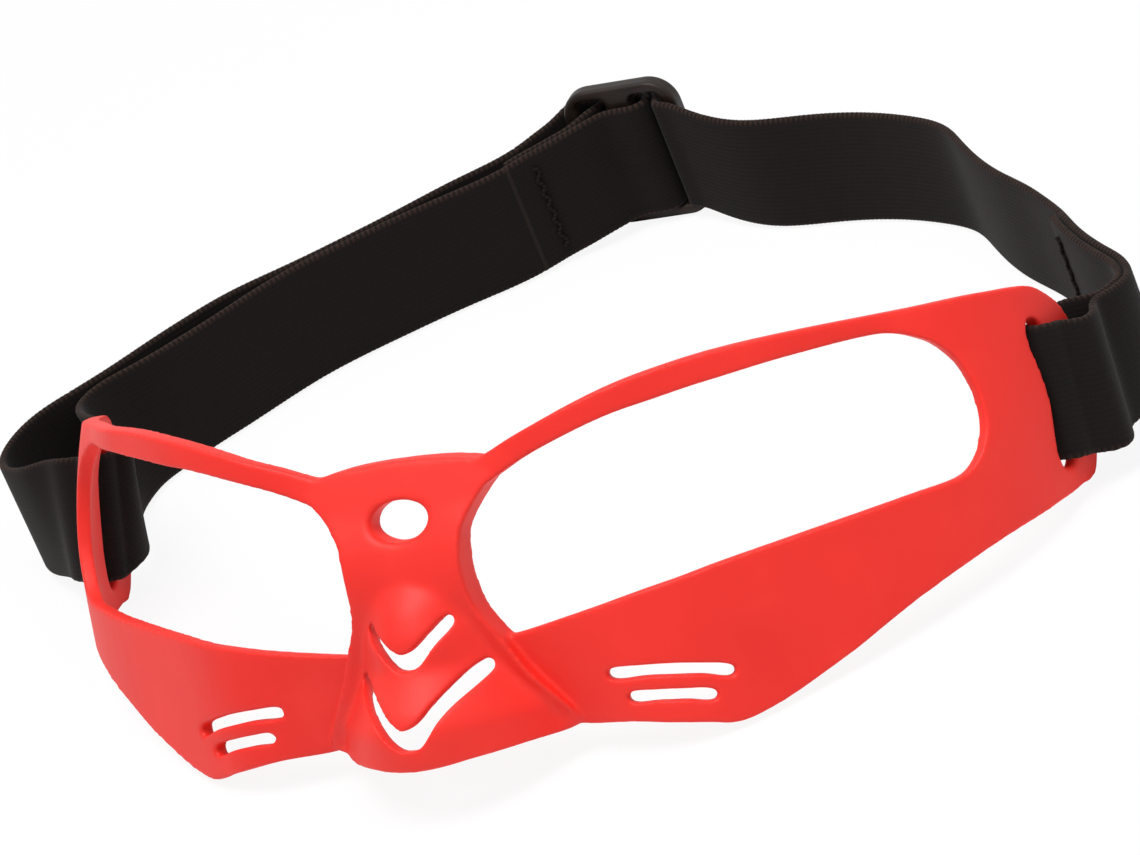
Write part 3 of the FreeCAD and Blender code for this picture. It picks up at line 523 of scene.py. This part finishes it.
def webbing_piece(node, name, cut_start, cut_end):
    """A stretch of webbing along a CAD ribbon, with soft edges, edge loops and a map for its weave.
    Its middle line comes with it."""
    middle, width, thick = ribbon_course(node)
    for end, inward in ((0, 1), (-1, -2)):
        middle[end] = middle[end] + (middle[end] - middle[inward]).normalized() * END_REACH
    half_width = sum(side.length for side in width) / len(width)
    half_thick = sum(side.length for side in thick) / len(thick)
    flat = 1.0 - half_thick / half_width
    profile = ring_profile(flat)
    rows, around = len(middle), len(profile)
    reach = running_length(middle)
    bm = bmesh.new()
    bmesh.ops.create_grid(bm, x_segments=around, y_segments=rows - 1, size=1.0)
    uv_layer = bm.loops.layers.uv.new("webbing")
    cut_layer = bm.verts.layers.float.new("cut")
    where = {}
    for vert in bm.verts:
        across = round((vert.co.x + 1.0) / 2.0 * around)
        along = round((vert.co.y + 1.0) / 2.0 * (rows - 1))
        where[vert] = (across, along)
    for vert, (across, along) in where.items():
        a, b = profile[across % around]
        edge = max(abs(a) - flat, 0.0) * half_width / half_thick
        side = 0.0 if a > 0 else EDGE_LOOP_PITCH / 2.0
        swell = EDGE_LOOP_SWING * edge * math.sin(2.0 * math.pi * (reach[along] + side) / EDGE_LOOP_PITCH)
        wide, deep = width[along].normalized(), thick[along].normalized()
        vert.co = middle[along] + wide * (a * half_width + math.copysign(swell, a)) + deep * (b * half_thick)
        at_start = cut_start and reach[along] < CUT_BAND
        at_end = cut_end and reach[-1] - reach[along] < CUT_BAND
        vert[cut_layer] = 1.0 if at_start or at_end else 0.0
    for face in bm.faces:
        for loop in face.loops:
            across, along = where[loop.vert]
            loop[uv_layer].uv = (profile[across % around][0] * half_width / MM, reach[along] / MM)
    bmesh.ops.remove_doubles(bm, verts=bm.verts, dist=SECTION_MERGE)
    bmesh.ops.holes_fill(bm, edges=bm.edges, sides=0)
    bmesh.ops.recalc_face_normals(bm, faces=bm.faces)
    for face in bm.faces:
        face.smooth = True
        if len(face.verts) > 4:
            for edge in face.edges:
                edge.smooth = False
    return new_piece(bm, name), middle


def paint(piece, material):
    piece.data.materials.clear()
    piece.data.materials.append(material)


def dress(piece, material, slot_name, body, *nodes):
    """Gives a piece its finish and the body it rides on, and hides the CAD nodes it stands for."""
    paint(piece, material)
    if body:
        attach(piece, body)
    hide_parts(*nodes)


red, webbing, dark, thread = moulding_finish(), webbing_finish(), slider_finish(), thread_finish()

moulding = softened("frame_moulding", "moulded_frame", MOULDING_CUBE, MOULDING_ROUNDS, MOULDING_TRIANGLES,
                    [FOREHEAD, *WING_CORNERS])
dress(moulding, red, "moulding_red", "root", "frame_moulding")

slider = softened("slider", "adjuster_slider", SLIDER_CUBE, SLIDER_ROUNDS, SLIDER_TRIANGLES)
dress(slider, dark, "slider_black", "slider_body", "slider")

# Stretches of the strap, each with the body it rides on and whether its start and its end are cut;
# those without a body reach from the moulding to the slider
STRETCHES = [
    ("strap_left_loop", "left_loop_webbing", "root", True, False),
    ("strap_right_loop", "right_loop_webbing", "root", False, False),
    ("strap_threaded_run", "threaded_webbing", "slider_body", False, False),
    ("strap_sewn_end", "sewn_end_webbing", "slider_body", False, True),
    ("strap_back_run", "back_run_webbing", None, False, False),
    ("strap_outer_run", "outer_run_webbing", None, False, False),
    ("strap_inner_run", "inner_run_webbing", None, False, False),
]
slider_low, slider_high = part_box("slider")
slider_middle = (Vector(slider_low) + Vector(slider_high)) / 2.0
for node, name, body, cut_start, cut_end in STRETCHES:
    piece, line = webbing_piece(node, name, cut_start, cut_end)
    dress(piece, webbing, "webbing_black", body, node)
    if body is None:
        far, near = sorted((line[0], line[-1]), key=lambda end: -(end - slider_middle).length)
        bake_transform(piece)

for node in ("left_stitches", "slider_stitches"):
    paint(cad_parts[node], thread)


def stage_floor():
    """A pale floor that shows white to the camera and keeps the object's shadow."""
    bm = bmesh.new()
    bmesh.ops.create_grid(bm, x_segments=1, y_segments=1, size=FLOOR_REACH)
    floor = new_piece(bm, "floor")
    floor.data.transform(Matrix.Translation((0.0, 0.0, -FLOOR_DROP)))
    finish = Finish("floor_white")
    seen = finish.ray("Is Camera Ray")
    matt = finish.add("ShaderNodeBsdfDiffuse", {}, {"Color": FLOOR_PAINT})
    glow = finish.add("ShaderNodeEmission", {}, {"Color": WHITE, "Strength": SEEN_STRENGTH})
    surface = finish.add("ShaderNodeMixShader", {}, {0: seen * FLOOR_GLOW_SHARE, 1: matt, 2: glow})
    floor.data.materials.append(finish.show(surface))


def direction(azimuth, elevation):
    """The way from the object to a lamp or the camera; it leads to the front where the azimuth is 0."""
    turn, rise = math.radians(azimuth), math.radians(elevation)
    return Vector((math.sin(turn) * math.cos(rise), -math.cos(turn) * math.cos(rise), math.sin(rise)))


def add_lamp(name, azimuth, elevation, distance, size, power):
    """A soft square lamp that faces the object."""
    light = bpy.data.lights.new(name, "AREA")
    light.size, light.energy = size, power
    item = add_object(name, light)
    away = direction(azimuth, elevation)
    item.location = away * distance
    item.rotation_euler = away.to_track_quat("Z", "Y").to_euler()


def light_world():
    """A plain white world that lights the object more weakly than it shows."""
    sky = Finish("studio", "worlds")
    seen = sky.ray("Is Camera Ray").either(sky.ray("Is Glossy Ray")).either(sky.ray("Is Transmission Ray"))
    inputs = {"Value": seen, "To Min": WORLD_STRENGTH, "To Max": SEEN_STRENGTH}
    strength = sky.add("ShaderNodeMapRange", {}, inputs)
    background = sky.add("ShaderNodeBackground", {}, {"Color": WHITE, "Strength": strength})
    bpy.context.scene.world = sky.show(background, "ShaderNodeOutputWorld")


def place_camera():
    away = direction(VIEW_AZIMUTH, VIEW_ELEVATION)
    turn, roll = math.radians(VIEW_AZIMUTH), math.radians(VIEW_ROLL)
    level = Vector((math.cos(turn), math.sin(turn), 0.0))
    right = level * math.cos(roll) - away.cross(level) * math.sin(roll)
    up = away.cross(right)
    camera = bpy.data.cameras.new("camera")
    camera.lens, camera.sensor_width = VIEW_LENS, VIEW_SENSOR
    camera.clip_start, camera.clip_end = VIEW_NEAR, VIEW_FAR
    item = add_object("camera", camera)
    turned = Matrix((right, up, away)).transposed().to_4x4()
    item.matrix_world = Matrix.Translation((Vector(VIEW_TARGET) + away * VIEW_DISTANCE) * MM) @ turned
    bpy.context.scene.camera = item


stage_floor()
for name, place in LAMPS.items():
    add_lamp(name, *place)
light_world()
place_camera()
bpy.context.scene.view_settings.view_transform = "Standard"
